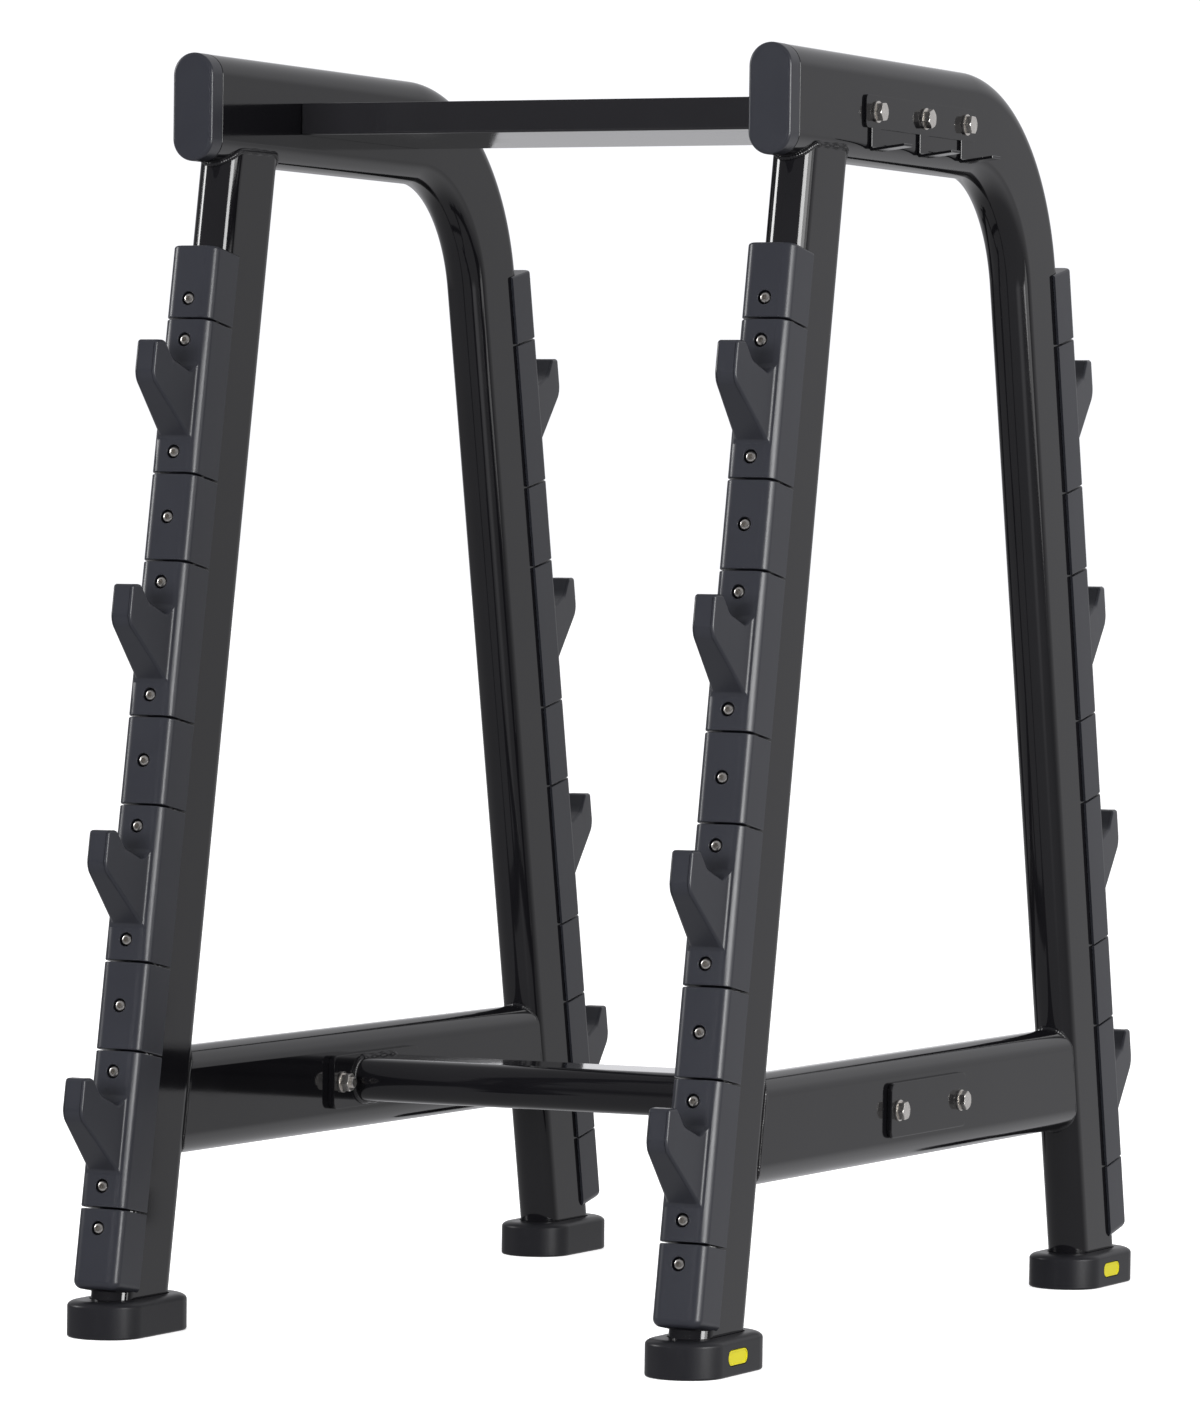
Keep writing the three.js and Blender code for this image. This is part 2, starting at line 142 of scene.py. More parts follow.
def bevelEdges(piece, width, test, steps):
    pick(piece, "EDGE", test)
    bpy.ops.mesh.bevel(offset=width, segments=steps, profile=0.5, affect="EDGES")


def bevelSharp(piece, width, steps, angle=sharpAngle):
    startEdit(piece)
    bevelEdges(piece, width, lambda edge: faceAngle(edge) > angle, steps)
    endEdit()


def place(piece, location, rotation=(0, 0, 0)):
    # moves a piece and puts the move into its mesh
    makeActive(piece)
    piece.location = location
    piece.rotation_euler = rotation
    bpy.ops.object.transform_apply(location=True, rotation=True, scale=True)
    return piece


def roundedFace(name, width, depth, corner=0, steps=1):
    # a flat face, width along X and depth along Y, which may have round corners
    bpy.ops.mesh.primitive_plane_add(size=1)
    piece = bpy.context.object
    piece.name = name
    startEdit(piece)
    bpy.ops.mesh.select_all(action="SELECT")
    bpy.ops.transform.resize(value=(width, depth, 1), center_override=(0, 0, 0))
    bpy.ops.mesh.bevel(offset=corner, segments=steps, profile=0.5, affect="VERTICES")
    bpy.ops.mesh.remove_doubles(threshold=mergeDistance)
    endEdit()
    return piece


def ovalFace(name, width, depth, grow=0.0):
    return roundedFace(name, width + 2 * grow, depth + 2 * grow, width / 2 + grow, rack["noseSteps"])


def tubeOval(name, grow=0.0):
    return ovalFace(name, tubeWidth, tubeDepth, grow)


def slab(face, thickness):
    # raises a flat face along Z
    startEdit(face)
    bpy.ops.mesh.select_all(action="SELECT")
    extrude(0, 0, thickness)
    endEdit()
    return face


def rod(name, radius, start, end, sides=48):
    # a round bar from one point to another
    axis = Vector(end) - Vector(start)
    bpy.ops.mesh.primitive_cylinder_add(vertices=sides, radius=radius, depth=axis.length)
    piece = bpy.context.object
    piece.name = name
    turn = Vector((0, 0, 1)).rotation_difference(axis).to_euler()
    return place(piece, (Vector(start) + Vector(end)) / 2, turn)


def hexRadius(across):
    # from the middle of a hexagon to its corners
    return across / 2 / math.cos(math.pi / hexSides)


def faceOutward(piece):
    startEdit(piece)
    bpy.ops.mesh.select_all(action="SELECT")
    bpy.ops.mesh.normals_make_consistent(inside=False)
    endEdit()


def combine(piece, other, operation):
    # cuts, joins or crosses a piece with another, which is used up
    faceOutward(other)
    faceOutward(piece)
    modifier = piece.modifiers.new("shape", "BOOLEAN")
    modifier.operation = operation
    modifier.solver = "EXACT"
    modifier.object = other
    bpy.ops.object.modifier_apply(modifier=modifier.name)
    bpy.data.objects.remove(other)
    return piece


def joinPieces(pieces, name):
    makeActive(pieces[0])
    for piece in pieces[1:]:
        piece.select_set(True)
    bpy.ops.object.join()
    joined = bpy.context.object
    joined.name = name
    return joined


def copyPiece(template, name, where):
    copy = template.copy()
    copy.data = template.data.copy()
    copy.name = name
    bpy.context.collection.objects.link(copy)
    makeActive(copy)
    copy.matrix_world = where
    bpy.ops.object.transform_apply(location=True, rotation=True, scale=True)
    return copy


def finishPiece(piece, material, nodes=(), angle=smoothAngle):
    # outward faces, smooth shading that keeps the flats flat, material, body and CAD nodes
    faceOutward(piece)
    piece.data.materials.clear()
    piece.data.materials.append(material)
    makeActive(piece)
    bpy.ops.object.shade_smooth_by_angle(angle=math.radians(angle))
    even = piece.modifiers.new("even flats", "WEIGHTED_NORMAL")
    even.keep_sharp = True
    bpy.ops.object.modifier_apply(modifier=even.name)
    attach(piece, "root")
    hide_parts(*nodes)


mirrorSide = Matrix.Scale(-1, 4, (1, 0, 0))


def finishPair(piece, name, material, nodes=(), angle=smoothAngle, shared=()):
    # finishes a piece of the right side frame and its mirror image on the left one
    for side, where in (("right", Matrix.Identity(4)), ("left", mirrorSide)):
        copy = copyPiece(piece, side + "_" + name, where)
        own = [side + "_" + node for node in nodes]
        finishPiece(copy, material, own + list(shared), angle)
    bpy.data.objects.remove(piece)


# Materials
class Socket:
    # a shader value that sums and products can be written with

    def __init__(self, tree, link=None):
        self.tree = tree
        self.link = link

    def node(self, kind, settings, values, output=0):
        made = self.tree.nodes.new(kind)
        for name, value in settings.items():
            setattr(made, name, value)
        for name, value in values.items():
            if isinstance(value, Socket):
                self.tree.links.new(value.link, made.inputs[name])
            else:
                made.inputs[name].default_value = value
        return Socket(self.tree, made.outputs[output])

    def maths(self, operation, first, second):
        return self.node("ShaderNodeMath", {"operation": operation}, {0: first, 1: second})

    def __add__(self, other):
        return self.maths("ADD", self, other)

    def __radd__(self, other):
        return self.maths("ADD", other, self)

    def __sub__(self, other):
        return self.maths("SUBTRACT", self, other)

    def __rsub__(self, other):
        return self.maths("SUBTRACT", other, self)

    def __mul__(self, other):
        return self.maths("MULTIPLY", self, other)

    def __rmul__(self, other):
        return self.maths("MULTIPLY", other, self)

    def within(self, low, high):
        # runs from 0 to 1 as the value goes from low to high
        settings = {"interpolation_type": "SMOOTHSTEP", "clamp": True}
        values = {"Value": self, "From Min": low, "From Max": high}
        return self.node("ShaderNodeMapRange", settings, values)


def startMaterial(name):
    material = bpy.data.materials.new(name)
    material.use_nodes = True
    tree = material.node_tree
    coords = Socket(tree).node("ShaderNodeTexCoord", {}, {}, output="Object")
    return material, tree, tree.nodes["Principled BSDF"], coords


def noise(coords, scale, detail, roughness=0.5):
    values = {"Vector": coords, "Scale": scale, "Detail": detail, "Roughness": roughness}
    return coords.node("ShaderNodeTexNoise", {}, values, output="Fac")


def mixColours(mask, low, high):
    # sockets 6 and 7 are the two colours of a Mix node, and output 2 is its colour
    values = {"Factor": mask, 6: (*low, 1), 7: (*high, 1)}
    return mask.node("ShaderNodeMix", {"data_type": "RGBA"}, values, output=2)


def bump(height, distance):
    return height.node("ShaderNodeBump", {}, {"Height": height, "Distance": distance, "Strength": 1.0})


def connect(tree, shader, links, values):
    for name, socket in links.items():
        tree.links.new(socket.link, shader.inputs[name])
    for name, value in values.items():
        shader.inputs[name].default_value = value


# Powder coat of all tubes, plates and the tray; each noise is given by its scale and detail
glossCoat = {
    "dark": (0.0035, 0.0034, 0.0042),
    "light": (0.0060, 0.0058, 0.0070),
    "patches": (9.0, 4.0),
    "roughness": 0.070,
    "haze": 0.05,
    "hazeRange": (0.45, 0.8),
    "peel": (420.0, 2.0),
    "peelHeight": 0.00001,
    "ior": 1.5,
}
# the tray's coat is the same powder coat with lighter colours: painted light that brightens the tray's front
trayPaintedLight = {**glossCoat, "dark": (0.0105, 0.0103, 0.0117), "light": (0.0140, 0.0137, 0.0155)}


def coatMaterial(name, look):
    # gloss powder coat: nearly black, with a faint orange peel and hazier patches
    material, tree, shader, coords = startMaterial(name)
    patches = noise(coords, *look["patches"])
    links = {
        "Base Color": mixColours(patches, look["dark"], look["light"]),
        "Roughness": look["roughness"] + look["haze"] * patches.within(*look["hazeRange"]),
        "Normal": bump(noise(coords, *look["peel"]), look["peelHeight"]),
    }
    connect(tree, shader, links, {"IOR": look["ior"], "Metallic": 0.0})
    return material


# Plastic of the covers, hooks and caps, and what differs from it in the feet and their inserts
satinPlastic = {
    "dark": (0.0155, 0.0161, 0.0208),
    "light": (0.0200, 0.0211, 0.0264),
    "clouds": (14.0, 5.0),
    "roughness": 0.29,
    "cloudRoughness": 0.05,
    "scuffs": (26.0, 4.0, 0.6),
    "scuffShine": 0.05,
    "scuffRange": (0.5, 0.85),
    "grain": (1500.0, 3.0),
    "grainHeight": 0.000010,
    "ior": 1.46,
}
footRubber = {
    **satinPlastic,
    "dark": (0.0072, 0.0072, 0.0088),
    "light": (0.0104, 0.0104, 0.0124),
    "roughness": 0.34,
    "grainHeight": 0.00002,
    "ior": 1.37,
}
insertPlastic = {
    **satinPlastic,
    "dark": (0.54, 0.48, 0.0),
    "light": (0.62, 0.56, 0.001),
    "roughness": 0.40,
}


def plasticMaterial(name, look):
    # moulded plastic or rubber: cloudy, with a fine grain and scuffs that shine a little more
    material, tree, shader, coords = startMaterial(name)
    clouds = noise(coords, *look["clouds"])
    scuffs = noise(coords, *look["scuffs"]).within(*look["scuffRange"])
    links = {
        "Base Color": mixColours(clouds, look["dark"], look["light"]),
        "Roughness": look["roughness"] + look["cloudRoughness"] * clouds - look["scuffShine"] * scuffs,
        "Normal": bump(noise(coords, *look["grain"]), look["grainHeight"]),
    }
    connect(tree, shader, links, {"IOR": look["ior"], "Metallic": 0.0})
    return material


# Steel of the bolts and screws
stainless = {
    "dark": (0.74, 0.71, 0.67),
    "light": (0.86, 0.83, 0.79),
    "spots": (180.0, 4.0),
    "roughness": 0.27,
    "spotRoughness": 0.08,
    "spotRange": (0.4, 0.7),
    "marks": (2500.0, 2.0),
    "markHeight": 0.000002,
}


def steelMaterial(name, look):
    # bright fasteners: fine turned marks, with duller spots
    material, tree, shader, coords = startMaterial(name)
    spots = noise(coords, *look["spots"])
    links = {
        "Base Color": mixColours(spots, look["dark"], look["light"]),
        "Roughness": look["roughness"] + look["spotRoughness"] * spots.within(*look["spotRange"]),
        "Normal": bump(noise(coords, *look["marks"]), look["markHeight"]),
    }
    connect(tree, shader, links, {"Metallic": 1.0})
    return material


coat = coatMaterial("gloss black coat", glossCoat)
# the tray gets the lighter copy of the coat, which paints light onto it
trayCoatWithPaintedLight = coatMaterial("tray coat with painted light", trayPaintedLight)
plastic = plasticMaterial("satin charcoal plastic", satinPlastic)
rubber = plasticMaterial("black rubber", footRubber)
yellow = plasticMaterial("yellow plastic", insertPlastic)
steel = steelMaterial("stainless steel", stainless)
print("materials made")


# The camera, fitted to the photograph
view = {
    "place": (3.52375, -7.44045, 0.88974),
    "yaw": 0.4461,
    "pitch": 0.0579,
    "roll": 0.0136,
    "focalPixels": 7187.83,
    "frameHeight": 1417,
    "centreDrop": 240,
    "sensor": 36.0,
    "clipEnd": 500,
}


def addCamera():
    yaw, pitch, roll = view["yaw"], view["pitch"], view["roll"]
    flat = math.cos(pitch)
    forward = Vector((-math.sin(yaw) * flat, math.cos(yaw) * flat, -math.sin(pitch)))
    level = Vector((math.cos(yaw), math.sin(yaw), 0))
    upright = level.cross(forward)
    right = level * math.cos(roll) + upright * math.sin(roll)
    up = right.cross(forward)
    lens = bpy.data.cameras.new("camera")
    lens.sensor_width = view["sensor"]
    lens.lens = view["sensor"] * view["focalPixels"] / view["frameHeight"]
    lens.shift_y = view["centreDrop"] / view["frameHeight"]
    lens.clip_end = view["clipEnd"]
    camera = bpy.data.objects.new("camera", lens)
    bpy.context.scene.collection.objects.link(camera)
    turned = Matrix((right, up, -forward)).transposed().to_4x4()
    camera.matrix_world = Matrix.Translation(view["place"]) @ turned
    bpy.context.scene.camera = camera


addCamera()
print("camera set")


# Tubes of one side frame
cope = {"radius": 0.0305, "inset": 0.0295, "cutterLength": 0.4, "sides": 96}


def centreOfBend():
    z = barHeight - rack["bendRadius"]
    y = rearFootY - (rack["bendRadius"] + z * math.sin(rack["rearLean"])) / math.cos(rack["rearLean"])
    return Vector((sideX, y, z))


def barAndRearLeg():
    bend = centreOfBend()
    sweep = math.pi / 2 - rack["rearLean"]
    radius = rack["bendRadius"]
    piece = place(tubeOval("bar"), (sideX, barFront, barHeight), (math.pi / 2, 0, 0))
    startEdit(piece)
    bpy.ops.mesh.select_all(action="SELECT")
    extrude(0, bend.y - barFront, 0)
    bpy.ops.mesh.spin(steps=rack["bendSteps"], angle=sweep, center=bend, axis=(1, 0, 0))
    legLength = (bend.z + radius * math.cos(sweep)) / math.cos(rack["rearLean"]) + tubeWidth
    extrude(*(-upRear * legLength))
    cutAtFoot()
    bevelEdges(piece, rack["mouthEdge"], inPlane("y", barFront), steps=3)
    endEdit()
    return piece


def cutAtFoot():
    bpy.ops.mesh.select_all(action="SELECT")
    bpy.ops.mesh.bisect(plane_co=(0, 0, tubeFoot), plane_no=(0, 0, 1), use_fill=True, clear_inner=True)


def copeCutter(start, direction, towards):
    # a round bar that lies in a neighbouring tube and stands a little proud of its nose
    middle = start + towards * cope["inset"]
    reach = direction * cope["cutterLength"]
    return rod("cutter", cope["radius"], middle - reach, middle + reach, cope["sides"])


def frontLeg():
    piece = tubeOval("front leg")
    sunk = tubeWidth / math.cos(rack["frontLean"])
    length = (barHeight - cope["inset"]) / math.cos(rack["frontLean"]) + sunk
    place(piece, Vector((sideX, frontFootY, 0)) - upFront * sunk, (-rack["frontLean"], 0, 0))
    startEdit(piece)
    bpy.ops.mesh.select_all(action="SELECT")
    extrude(*(upFront * length))
    cutAtFoot()
    endEdit()
    meets = Vector((sideX, frontFootY + barHeight * math.tan(rack["frontLean"]), barHeight))
    return combine(piece, copeCutter(meets, Vector((0, 1, 0)), Vector((0, 0, -1))), "DIFFERENCE")


def lowerRail():
    start = frontFootY + railHeight * math.tan(rack["frontLean"])
    end = rearFootY - railHeight * math.tan(rack["rearLean"])
    piece = place(tubeOval("rail"), (sideX, start + cope["inset"], railHeight), (math.pi / 2, 0, 0))
    startEdit(piece)
    bpy.ops.mesh.select_all(action="SELECT")
    extrude(0, end - start - 2 * cope["inset"], 0)
    endEdit()
    inFront = Vector((0, math.cos(rack["frontLean"]), -math.sin(rack["frontLean"])))
    inRear = Vector((0, -math.cos(rack["rearLean"]), -math.sin(rack["rearLean"])))
    combine(piece, copeCutter(Vector((sideX, start, railHeight)), upFront, inFront), "DIFFERENCE")
    return combine(piece, copeCutter(Vector((sideX, end, railHeight)), upRear, inRear), "DIFFERENCE")


finishPair(barAndRearLeg(), "bent_tube", coat, ["bar_and_rear_leg"])
finishPair(frontLeg(), "front_leg_tube", coat, ["front_leg"])
finishPair(lowerRail(), "rail_tube", coat, ["lower_rail"])
print("tubes made")


# Weld beads
weld = {
    "radius": 0.0042,
    "roundSteps": 3,
    "ripple": 0.0026,
    "rippleSteps": 4,
    "rippleDepth": 0.16,
    "swells": ((0.08, 0.173, 0), (0.07, 0.061, 2)),
    "ovalSteps": 24,
    "sink": 0.0004,
    "legNarrow": 0.92,
    "railNarrow": 0.85,
    "smoothAngle": 60,
}


def bead(name, points):
    # a rippled bead along a closed row of points, thicker here and thinner there
    spacing = weld["ripple"] / weld["rippleSteps"]
    lengths = [(points[i] - points[i - 1]).length for i in range(len(points))]
    path = []
    for i, length in enumerate(lengths):
        count = max(1, round(length / spacing))
        for step in range(count):
            path.append(points[i - 1].lerp(points[i], step / count))
    curve = bpy.data.curves.new(name, "CURVE")
    curve.dimensions = "3D"
    curve.bevel_depth = weld["radius"]
    curve.bevel_resolution = weld["roundSteps"]
    spline = curve.splines.new("POLY")
    spline.points.add(len(path) - 1)
    spline.use_cyclic_u = True
    for i, (spot, point) in enumerate(zip(spline.points, path)):
        spot.co = (*point, 1)
        swell = sum(size * math.sin(i * pace + start) for size, pace, start in weld["swells"])
        ripple = (i % weld["rippleSteps"]) / weld["rippleSteps"]
        spot.radius = 1 + swell - weld["rippleDepth"] * ripple
    piece = bpy.data.objects.new(name, curve)
    bpy.context.collection.objects.link(piece)
    makeActive(piece)
    bpy.ops.object.convert(target="MESH")
    return bpy.context.object


def ovalPoints(narrow=1):
    # points round a tube's flat oval, which may be narrowed, as pairs across and along it
    points = []
    for i in range(2 * weld["ovalSteps"]):
        angle = math.pi * i / weld["ovalSteps"]
        end = noseOffset if math.sin(angle) >= 0 else -noseOffset
        points.append((noseRadius * narrow * math.cos(angle), noseRadius * math.sin(angle) + end))
    return points


def noseDepth(across):
    # how far from a tube's axis its nose lies, at a distance to the side
    return noseOffset + math.sqrt(noseRadius**2 - across**2) + weld["sink"]


def legBead():
    points = []
    for across, along in ovalPoints(weld["legNarrow"]):
        height = barHeight - noseDepth(across)
        foot = Vector((sideX + across, frontFootY, 0)) + along * Vector((0, upFront.z, -upFront.y))
        points.append(foot + upFront * (height - foot.z) / upFront.z)
    return bead("leg bead", points)


def railBead(footY, up, towards):
    # towards is +1 where the rail leaves the leg to the rear
    points = []
    for across, along in ovalPoints(weld["railNarrow"]):
        z = railHeight + along
        y = footY + (z * up.y + towards * noseDepth(across)) / up.z
        points.append(Vector((sideX + across, y, z)))
    return bead("rail bead", points)


def finishWeld(piece, name, shared=()):
    finishPair(piece, name, coat, angle=weld["smoothAngle"], shared=shared)


finishWeld(legBead(), "top_weld")
finishWeld(railBead(frontFootY, upFront, 1), "front_rail_weld")
finishWeld(railBead(rearFootY, upRear, -1), "rear_rail_weld")
print("weld beads made")


# Crossmember: a flat-oval tube lying flat, with a plate welded to each end
crossmember = {"plate": 0.008, "corner": 0.010, "edge": 0.0008}
plateInnerX = nodeSize("crossmember").x / 2 - crossmember["plate"]


def crossmemberTube():
    # it runs half a plate's thickness into each end plate
    length = nodeSize("crossmember").x - crossmember["plate"]
    piece = place(tubeOval("crossmember_tube"), (-length / 2, crossmemberY, railHeight), (0, math.pi / 2, 0))
    startEdit(piece)
    bpy.ops.mesh.select_all(action="SELECT")
    extrude(length, 0, 0)
    endEdit()
    return piece


def uprightPlate(name, look, innerX):
    # a plate in the plane of the side frame, as tall and long as the crossmember's node
    size = nodeSize("crossmember")
    middle = nodeMiddle("crossmember")
    piece = slab(roundedFace(name, size.z, size.y, look["corner"], steps=6), look["plate"])
    place(piece, (innerX, middle.y, middle.z), (0, math.pi / 2, 0))
    bevelSharp(piece, look["edge"], steps=2)
    return piece


def crossmemberBead():
    points = []
    for across, along in ovalPoints():
        points.append(Vector((plateInnerX, crossmemberY + along, railHeight + across)))
    return bead("crossmember bead", points)


finishPiece(crossmemberTube(), coat, ["crossmember"])
endPlate = uprightPlate("end plate", crossmember, plateInnerX)
finishPair(endPlate, "end_plate", coat, shared=["crossmember"])
finishWeld(crossmemberBead(), "crossmember_weld", shared=["crossmember"])
print("crossmember made")


# Bolts with hex heads, nuts and washers
bolt = {
    "radius": 0.006,
    "headAcross": 0.019,
    "headThickness": 0.0075,
    "nutThickness": 0.010,
    "washerRadius": 0.012,
    "washerThickness": 0.0025,
    "tail": 0.004,
    "chamfer": 0.0014,
    "hexEdge": 0.0003,
    "hexAngle": 40,
    "washerEdge": 0.0004,
    "shankEdge": 0.0010,
}


def hexPiece(start, thickness, chamferStart):
    # a hex head or nut along X, its corners taken off by a round cone at the outer end
    corner = hexRadius(bolt["headAcross"])
    piece = rod("hex", corner, (start, 0, 0), (start + thickness, 0, 0), hexSides)
    cone = rod("round", corner, (start, 0, 0), (start + thickness, 0, 0))
    startEdit(cone)
    outer = start if chamferStart else start + thickness
    bevelEdges(cone, bolt["chamfer"], inPlane("x", outer), steps=2)
    endEdit()
    combine(piece, cone, "INTERSECT")
    bevelSharp(piece, bolt["hexEdge"], steps=1, angle=bolt["hexAngle"])
    return piece


def washer(start):
    piece = rod("washer", bolt["washerRadius"], (start, 0, 0), (start + bolt["washerThickness"], 0, 0))
    bevelSharp(piece, bolt["washerEdge"], steps=2)
    return piece


def throughBolt(name, nutFace, headFace, nutWasher):
    # a bolt along X from the nut's face to the head's face
    headStart = headFace + bolt["washerThickness"]
    nutStart = nutFace - (bolt["washerThickness"] if nutWasher else 0)
    nutEnd = nutStart - bolt["nutThickness"]
    shank = rod("shank", bolt["radius"], (nutEnd - bolt["tail"], 0, 0), (headStart + bolt["tail"], 0, 0))
    bevelSharp(shank, bolt["shankEdge"], steps=2)
    pieces = [
        shank,
        hexPiece(headStart, bolt["headThickness"], chamferStart=False),
        washer(headFace),
        hexPiece(nutEnd, bolt["nutThickness"], chamferStart=True),
    ]
    if nutWasher:
        pieces.append(washer(nutStart))
    return joinPieces(pieces, name)


hanger = {"sheet": 0.003, "corner": 0.006, "edge": 0.0004, "boltTurns": (0.10, 0.32, 0.0)}
joint = {"plate": 0.006, "boltSpacing": 0.1763, "corner": 0.010, "edge": 0.0018, "boltTurns": (0.12, 0.40)}
hangerFace = noseRadius + hanger["sheet"]


def turnedAt(y, z, turn):
    return Matrix.Translation((sideX, y, z)) @ Matrix.Rotation(turn, 4, "X")


trayBolt = throughBolt("tray bolt", -hangerFace, hangerFace, nutWasher=False)
for i, turn in enumerate(hanger["boltTurns"]):
    node = "tray_bolt_" + str(i + 1)
    middle = nodeMiddle("right_" + node)
    placed = copyPiece(trayBolt, node, turnedAt(middle.y, middle.z, turn))
    finishPair(placed, "top_bolt_" + str(i + 1), steel, [node])
bpy.data.objects.remove(trayBolt)

nutFace = -noseRadius - crossmember["plate"]
jointBolt = throughBolt("joint bolt", nutFace, noseRadius + joint["plate"], nutWasher=True)
for i, turn in enumerate(joint["boltTurns"]):
    y = crossmemberY + (i - 0.5) * joint["boltSpacing"]
    placed = copyPiece(jointBolt, "joint bolt", turnedAt(y, railHeight, turn))
    finishPair(placed, "joint_bolt_" + str(i + 1), steel, ["joint_plate"])
bpy.data.objects.remove(jointBolt)

outerPlate = uprightPlate("outer plate", joint, sideX + noseRadius)
finishPair(outerPlate, "outer_plate", coat, ["joint_plate"])
print("bolts and joint plates made")


# Plate with hanging fingers on the outside of the top bar
finger = {
    "plateHeight": 0.036,
    "width": 0.024,
    "drop": 0.025,
    "reach": 0.038,
    "rise": 0.005,
    "thinner": 0.998,  # keeps its faces off the plate's
    "bend": 0.0022,
    "bendZone": 1.1,
}


def hangerPlate():
    low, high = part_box("right_hanger_plate")
    inner = sideX + noseRadius
    sheet = hanger["sheet"]
    size = (finger["plateHeight"], high.y - low.y)
    middle = (inner, (low.y + high.y) / 2, high.z - finger["plateHeight"] / 2)
    piece = slab(roundedFace("hanger", *size, hanger["corner"], steps=6), sheet)
    place(piece, middle, (0, math.pi / 2, 0))
    bevelSharp(piece, hanger["edge"], steps=2)
    tabTop = high.z - finger["plateHeight"] + hanger["corner"]
    tabFoot = high.z - finger["plateHeight"] - finger["drop"]
    zone = sheet * finger["bendZone"]
    for i in range(len(hanger["boltTurns"])):
        y = nodeMiddle("right_tray_bolt_" + str(i + 1)).y
        tab = roundedFace("tab", sheet * finger["thinner"], finger["width"])
        place(tab, (inner + sheet / 2, y, tabFoot))
        startEdit(tab)
        bpy.ops.mesh.select_all(action="SELECT")
        extrude(0, 0, sheet)
        extrude(0, 0, tabTop - tabFoot - sheet)
        pick(
            tab,
            "FACE",
            lambda face: face.normal.x > facing and face.calc_center_median().z < tabFoot + sheet,
        )
        extrude(finger["reach"], 0, finger["rise"])
        bevelEdges(
            tab,
            finger["bend"],
            lambda edge: faceAngle(edge) > sharpAngle
            and bothEnds(edge, lambda co: co.z < tabFoot + zone and co.x < inner + zone)
            and abs(edge.verts[0].co.y - edge.verts[1].co.y) > sheet,
            steps=4,
        )
        bevelEdges(tab, hanger["edge"], lambda edge: faceAngle(edge) > sharpAngle, steps=1)
        endEdit()
        combine(piece, tab, "UNION")
    return piece


finishPair(hangerPlate(), "finger_plate", coat, ["hanger_plate"])
print("finger plates made")


# Folded sheet tray, open upwards
trayLook = {"sheet": 0.003, "fold": 0.0028, "rim": 0.0006}


def trayShell():
    low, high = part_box("tray")
    bpy.ops.mesh.primitive_cube_add(size=1)
    piece = bpy.context.object
    piece.name = "folded_tray"
    startEdit(piece)
    bpy.ops.mesh.select_all(action="SELECT")
    bpy.ops.transform.resize(value=high - low, center_override=(0, 0, 0))
    bpy.ops.transform.translate(value=(low + high) / 2)
    pick(piece, "FACE", lambda face: face.normal.z > facing)
    bpy.ops.mesh.delete(type="ONLY_FACE")
    atTop = inPlane("z", high.z)
    bevelEdges(piece, trayLook["fold"], lambda edge: not atTop(edge), steps=5)
    endEdit()
    wall = piece.modifiers.new("sheet", "SOLIDIFY")
    wall.thickness = trayLook["sheet"]
    wall.offset = -1
    wall.use_even_offset = True
    makeActive(piece)
    bpy.ops.object.modifier_apply(modifier=wall.name)
    startEdit(piece)
    bevelEdges(piece, trayLook["rim"], lambda edge: faceAngle(edge) > sharpAngle and atTop(edge), steps=2)
    endEdit()
    return piece


finishPiece(trayShell(), trayCoatWithPaintedLight, ["tray"])
print("tray made")


# End caps
cap = {"gap": 0.0003, "depth": 0.025, "edge": 0.0042, "lip": 0.0009}


def endCap():
    start = barFront - cap["gap"]
    piece = place(tubeOval("cap"), (sideX, start, barHeight), (math.pi / 2, 0, 0))
    startEdit(piece)
    bpy.ops.mesh.select_all(action="SELECT")
    extrude(0, -cap["depth"], 0)
    front = start - cap["depth"]
    bevelEdges(piece, cap["edge"], inPlane("y", front), steps=6)
    bevelEdges(piece, cap["lip"], inPlane("y", start), steps=3)
    endEdit()
    return piece


finishPair(endCap(), "bar_cap", plastic, ["end_cap"])
print("end caps made")


# Covers and hooks, drawn on an upright leg axis: outward is -Y, up the leg is +Z
cover = {
    "width": 0.057,
    "face": 0.0856,
    "back": 0.029,
    "corner": 0.013,
    "cornerSteps": 5,
    "gap": 0.0004,
    "rim": 0.0013,
    "seam": 0.002,
    "stackFoot": 0.041,
    "rearRaise": 0.007,
    "bottomLength": 0.0884,
    "topLength": 0.0818,
    "spacerLength": 0.0964,
    "blockLength": 0.1723,
    "endScrew": 0.0215,
    "hookScrew": 0.0632,
    "bottomRound": 0.0092,
    "topRound": 0.0030,
}
recess = {"radius": 0.0078, "depth": 0.015, "chamfer": 0.0005, "sides": 40}
arm = {
    "rootFoot": 0.047,
    "rootTop": 0.035,
    "rootWidth": 0.039,
    "tipWidth": 0.0248,
    "reach": 0.082,
    "tipFoot": 0.004,
    "stations": ((0.010, 0.0253), (0.047, 0.032), (0.065, 0.049), (0.082, 0.046)),
    "kneeRounds": (0.006, 0.007, 0.010),
    "edge": 0.0034,
    "edgeAngle": 24,
    "edgeZone": 0.001,
}


def coverBody(name, lengths):
    # the cover's outline, raised by one or more lengths
    depth = cover["face"] - cover["back"]
    piece = roundedFace(name, cover["width"], depth)
    startEdit(piece)
    bpy.ops.mesh.select_all(action="SELECT")
    bpy.ops.transform.translate(value=(0, -cover["back"] - depth / 2, 0))
    pick(piece, "VERT", lambda vert: vert.co.y < -cover["face"] + tolerance)
    steps = cover["cornerSteps"]
    bpy.ops.mesh.bevel(offset=cover["corner"], segments=steps, profile=0.5, affect="VERTICES")
    bpy.ops.mesh.select_all(action="SELECT")
    for length in lengths:
        extrude(0, 0, length)
    return piece


def roundRim(piece, height, width, steps):
    # rounds one end of a cover, apart from its edge at the open back
    atEnd = inPlane("z", height)
    atBack = inPlane("y", -cover["back"])
    bevelEdges(piece, width, lambda edge: atEnd(edge) and not atBack(edge), steps)


